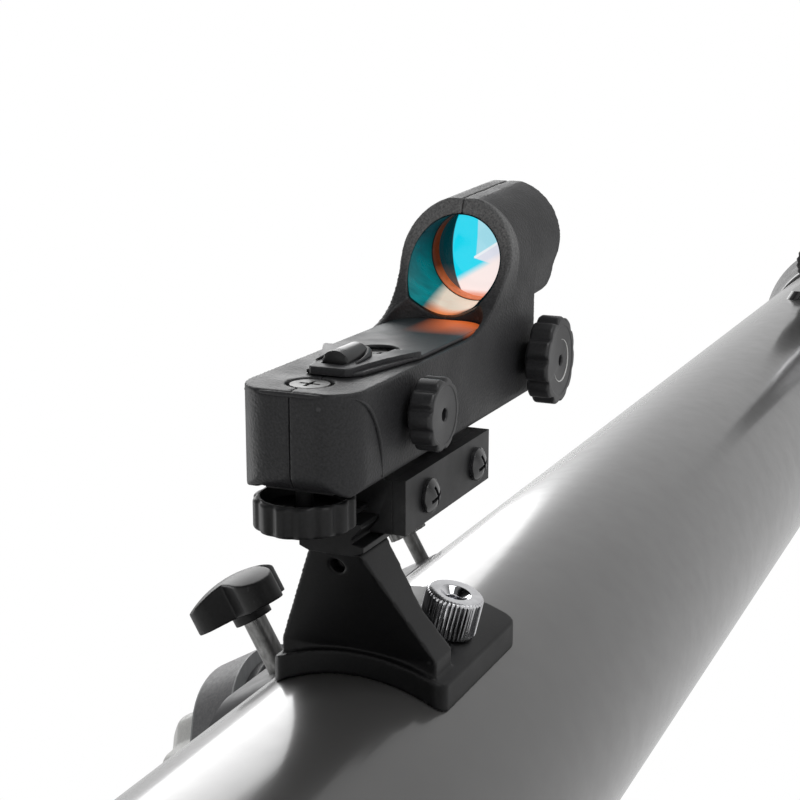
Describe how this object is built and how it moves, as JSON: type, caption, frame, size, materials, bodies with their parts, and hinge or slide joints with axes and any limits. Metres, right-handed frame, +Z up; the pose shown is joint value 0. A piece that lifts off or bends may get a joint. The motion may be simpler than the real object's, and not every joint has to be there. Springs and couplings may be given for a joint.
{
  "type": "dobsonian telescope",
  "caption": "Reflector telescope on a single-arm rocker base, with a clamped tube, rack focuser and eyepiece, and a red-dot finder on a pedestal shoe with aiming knobs.",
  "frame": {"origin": "on the azimuth axis at floor level, at the mouth of the tripod socket (3 mm above it)", "axes": "+Z up along the azimuth axis, -Z out of the tripod socket, +Y the way the tube points, +X to the side away from the arm"},
  "size_m": [0.4199, 0.8498, 0.8344],
  "materials": {
    "ground_board": "black melamine-faced board",
    "rubber_feet": "matt",
    "glide_pads": "PTFE pads",
    "azimuth_bolt": "zinc plated",
    "turntable_board": "black melamine-faced board",
    "side_arm": "grey laminate board",
    "arm_gussets": "grey laminate board",
    "arm_screws": "zinc plated",
    "altitude_bushing": "acetal",
    "friction_washer": "PTFE",
    "tension_knob": "moulded, fine grain",
    "pivot_shaft": "turned",
    "saddle_body": "grey-black powder coat",
    "clamp_jaw": "dark grey cast",
    "clamp_bolt": "dark steel",
    "star_knob": "moulded, satin",
    "rear_clamp_screw": "dark steel",
    "main_tube": "gloss charcoal paint",
    "front_ring": "gloss black",
    "rear_ring": "gloss black",
    "dovetail_bar": "black anodised",
    "dovetail_screws": "zinc plated",
    "mirror_cell": "moulded",
    "primary_mirror": "aluminised glass",
    "collimation_knob_1": "knurled",
    "collimation_knob_2": "knurled",
    "collimation_knob_3": "knurled",
    "spider": "matt black",
    "secondary_holder": "matt black",
    "secondary_mirror": "aluminised glass",
    "focuser_base": "moulded",
    "drawtube": "plated",
    "pinion_shaft": "turned",
    "focus_knobs": "fluted",
    "focus_lock_screw": "plated",
    "eyepiece_lock_screw": "plated",
    "eyepiece_barrel": "plated",
    "eyepiece_housing": "black anodised",
    "eyecup": "matt",
    "eyepiece_lens": "coated",
    "shoe_foot": "satin",
    "shoe_rail": "satin",
    "knurled_nut_right": "straight knurl",
    "knurled_nut_left": "straight knurl",
    "clamp_block": "moulded",
    "clamp_plate": "moulded",
    "clamp_screws": "gloss black steel",
    "tilt_cradle": "dark steel",
    "tilt_spring": "spring steel",
    "altitude_knob": "moulded",
    "azimuth_knob": "moulded",
    "housing_left": "fine grained ABS",
    "housing_right": "fine grained ABS",
    "deck_cover": "smooth satin",
    "power_slider": "smooth satin",
    "housing_screws": "nickel",
    "brightness_knob": "moulded",
    "finder_lens": "dichroic coating",
    "lens_ring": "satin",
    "battery": "coin cell"
  },
  "bodies": {
    "ground": {"ground_board": "ground_board", "rubber_feet": "rubber_feet", "glide_pads": "glide_pads", "azimuth_bolt": "azimuth_bolt"},
    "turntable": {"turntable_board": "turntable_board", "side_arm": "side_arm", "arm_gussets": "arm_gussets", "arm_screws": "arm_screws", "altitude_bushing": "altitude_bushing", "friction_washer": "friction_washer"},
    "saddle": {"pivot_shaft": "pivot_shaft", "saddle_body": "saddle_body"},
    "tension_knob": {"tension_knob": "tension_knob"},
    "jaw": {"clamp_jaw": "clamp_jaw"},
    "star_knob": {"clamp_bolt": "clamp_bolt", "star_knob": "star_knob"},
    "rear_clamp_screw": {"rear_clamp_screw": "rear_clamp_screw"},
    "ota": {"main_tube": "main_tube", "front_ring": "front_ring", "rear_ring": "rear_ring", "dovetail_bar": "dovetail_bar", "dovetail_screws": "dovetail_screws", "mirror_cell": "mirror_cell", "primary_mirror": "primary_mirror", "spider": "spider", "secondary_holder": "secondary_holder", "secondary_mirror": "secondary_mirror", "focuser_base": "focuser_base", "shoe_foot": "shoe_foot", "shoe_rail": "shoe_rail"},
    "collimation_1": {"collimation_knob_1": "collimation_knob_1"},
    "collimation_2": {"collimation_knob_2": "collimation_knob_2"},
    "collimation_3": {"collimation_knob_3": "collimation_knob_3"},
    "drawtube": {"drawtube": "drawtube"},
    "pinion": {"pinion_shaft": "pinion_shaft", "focus_knobs": "focus_knobs"},
    "focus_lock": {"focus_lock_screw": "focus_lock_screw"},
    "eyepiece": {"eyepiece_barrel": "eyepiece_barrel", "eyepiece_housing": "eyepiece_housing", "eyecup": "eyecup", "eyepiece_lens": "eyepiece_lens"},
    "eyepiece_lock": {"eyepiece_lock_screw": "eyepiece_lock_screw"},
    "nut_right": {"knurled_nut_right": "knurled_nut_right"},
    "nut_left": {"knurled_nut_left": "knurled_nut_left"},
    "finder_clamp": {"clamp_block": "clamp_block", "clamp_plate": "clamp_plate", "clamp_screws": "clamp_screws", "tilt_spring": "tilt_spring"},
    "altitude_knob": {"altitude_knob": "altitude_knob"},
    "cradle": {"tilt_cradle": "tilt_cradle"},
    "finder_body": {"housing_left": "housing_left", "housing_right": "housing_right", "deck_cover": "deck_cover", "housing_screws": "housing_screws", "finder_lens": "finder_lens", "lens_ring": "lens_ring", "battery": "battery"},
    "azimuth_knob": {"azimuth_knob": "azimuth_knob"},
    "brightness_knob": {"brightness_knob": "brightness_knob"},
    "power_slider": {"power_slider": "power_slider"}
  },
  "joints": [
    {"name": "azimuth_turn", "type": "hinge", "parent": "ground", "child": "turntable", "pos_m": [0, 0, 0.05], "axis": [0, 0, 1], "continuous": true},
    {"name": "altitude_tilt", "type": "hinge", "parent": "turntable", "child": "saddle", "pos_m": [-0.1, 0, 0.43], "axis": [1, 0, 0], "range_deg": [-40, 50]},
    {"name": "tension_knob_turn", "type": "hinge", "parent": "saddle", "child": "tension_knob", "pos_m": [-0.13, 0, 0.43], "axis": [1, 0, 0], "range_deg": [-180, 180]},
    {"name": "tube_slide", "type": "slide", "parent": "saddle", "child": "ota", "axis": [0, 0.8192, 0.5736], "range_m": [-0.02, 0.02]},
    {"name": "jaw_lift", "type": "slide", "parent": "saddle", "child": "jaw", "axis": [0, -0.5736, 0.8192], "range_m": [0, 0.003]},
    {"name": "star_knob_turn", "type": "hinge", "parent": "jaw", "child": "star_knob", "pos_m": [-0.055, -0.07136, 0.44474], "axis": [0, -0.5736, 0.8192], "range_deg": [0, 865]},
    {"name": "rear_clamp_turn", "type": "hinge", "parent": "jaw", "child": "rear_clamp_screw", "pos_m": [-0.055, 0.02047, 0.50537], "axis": [0, -0.5736, 0.8192], "range_deg": [0, 1081]},
    {"name": "collimation_1_turn", "type": "hinge", "parent": "ota", "child": "collimation_1", "pos_m": [0.02944, -0.26139, 0.22622], "axis": [0, 0.8192, 0.5736], "range_deg": [-360, 360]},
    {"name": "collimation_2_turn", "type": "hinge", "parent": "ota", "child": "collimation_2", "pos_m": [-0.02944, -0.26139, 0.22622], "axis": [0, 0.8192, 0.5736], "range_deg": [-360, 360]},
    {"name": "collimation_3_turn", "type": "hinge", "parent": "ota", "child": "collimation_3", "pos_m": [0, -0.29064, 0.268], "axis": [0, 0.8192, 0.5736], "range_deg": [-360, 360]},
    {"name": "focus_slide", "type": "slide", "parent": "ota", "child": "drawtube", "axis": [0.866, -0.2868, 0.4096], "range_m": [-0.0095, 0.0195]},
    {"name": "pinion_turn", "type": "hinge", "parent": "ota", "child": "pinion", "pos_m": [0.04226, 0.35881, 0.7457], "axis": [0, 0.8192, 0.5736], "range_deg": [-224, 110]},
    {"name": "focus_lock_turn", "type": "hinge", "parent": "ota", "child": "focus_lock", "pos_m": [0.07062, 0.37896, 0.71693], "axis": [0.5, 0.4967, -0.7094], "range_deg": [0, 540]},
    {"name": "eyepiece_lock_turn", "type": "hinge", "parent": "drawtube", "child": "eyepiece_lock", "pos_m": [0.09054, 0.37236, 0.72635], "axis": [0.5, 0.4967, -0.7094], "range_deg": [0, 540]},
    {"name": "eyepiece_slide", "type": "slide", "parent": "drawtube", "child": "eyepiece", "axis": [0.866, -0.2868, 0.4096], "range_m": [0, 0.03]},
    {"name": "nut_right_turn", "type": "hinge", "parent": "ota", "child": "nut_right", "pos_m": [0.03536, -0.1093, 0.39833], "axis": [0.6934, -0.4133, 0.5902], "range_deg": [0, 720]},
    {"name": "nut_left_turn", "type": "hinge", "parent": "ota", "child": "nut_left", "pos_m": [0.01414, -0.11633, 0.40836], "axis": [0.2773, -0.5511, 0.787], "range_deg": [0, 720]},
    {"name": "finder_slide", "type": "slide", "parent": "ota", "child": "finder_clamp", "axis": [0, 0.8192, 0.5736], "range_m": [-0.008, 0.008]},
    {"name": "altitude_knob_turn", "type": "hinge", "parent": "finder_clamp", "child": "altitude_knob", "pos_m": [0.045, -0.1743, 0.40311], "axis": [0.5, -0.4967, 0.7094], "range_deg": [-1226, 430]},
    {"name": "finder_tilt", "type": "hinge", "parent": "finder_clamp", "child": "cradle", "pos_m": [0.0465, -0.11992, 0.44435], "axis": [0.866, 0.2868, -0.4096], "range_deg": [-2, 0.7]},
    {"name": "finder_swivel", "type": "hinge", "parent": "cradle", "child": "finder_body", "pos_m": [0.05, -0.1234, 0.44932], "axis": [0.5, -0.4967, 0.7094], "range_deg": [-1, 1]},
    {"name": "azimuth_knob_turn", "type": "hinge", "parent": "finder_body", "child": "azimuth_knob", "pos_m": [0.06876, -0.15767, 0.42591], "axis": [0.866, 0.2868, -0.4096], "range_deg": [-373, 373]},
    {"name": "brightness_turn", "type": "hinge", "parent": "finder_body", "child": "brightness_knob", "pos_m": [0.06766, -0.0935, 0.46852], "axis": [0.866, 0.2868, -0.4096], "range_deg": [0, 300]},
    {"name": "power_slide", "type": "slide", "parent": "finder_body", "child": "power_slider", "axis": [0, 0.8192, 0.5736], "range_m": [-0.001, 0.004]}
  ],
  "couplings": [
    {"joint": "star_knob_turn", "follows": "jaw_lift", "rad_per_m": 5026.5},
    {"joint": "rear_clamp_turn", "follows": "jaw_lift", "rad_per_m": 6283.2},
    {"joint": "pinion_turn", "follows": "focus_slide", "rad_per_m": -200},
    {"joint": "altitude_knob_turn", "follows": "finder_tilt", "ratio": 612.2},
    {"joint": "azimuth_knob_turn", "follows": "finder_swivel", "ratio": 372.5}
  ]
}
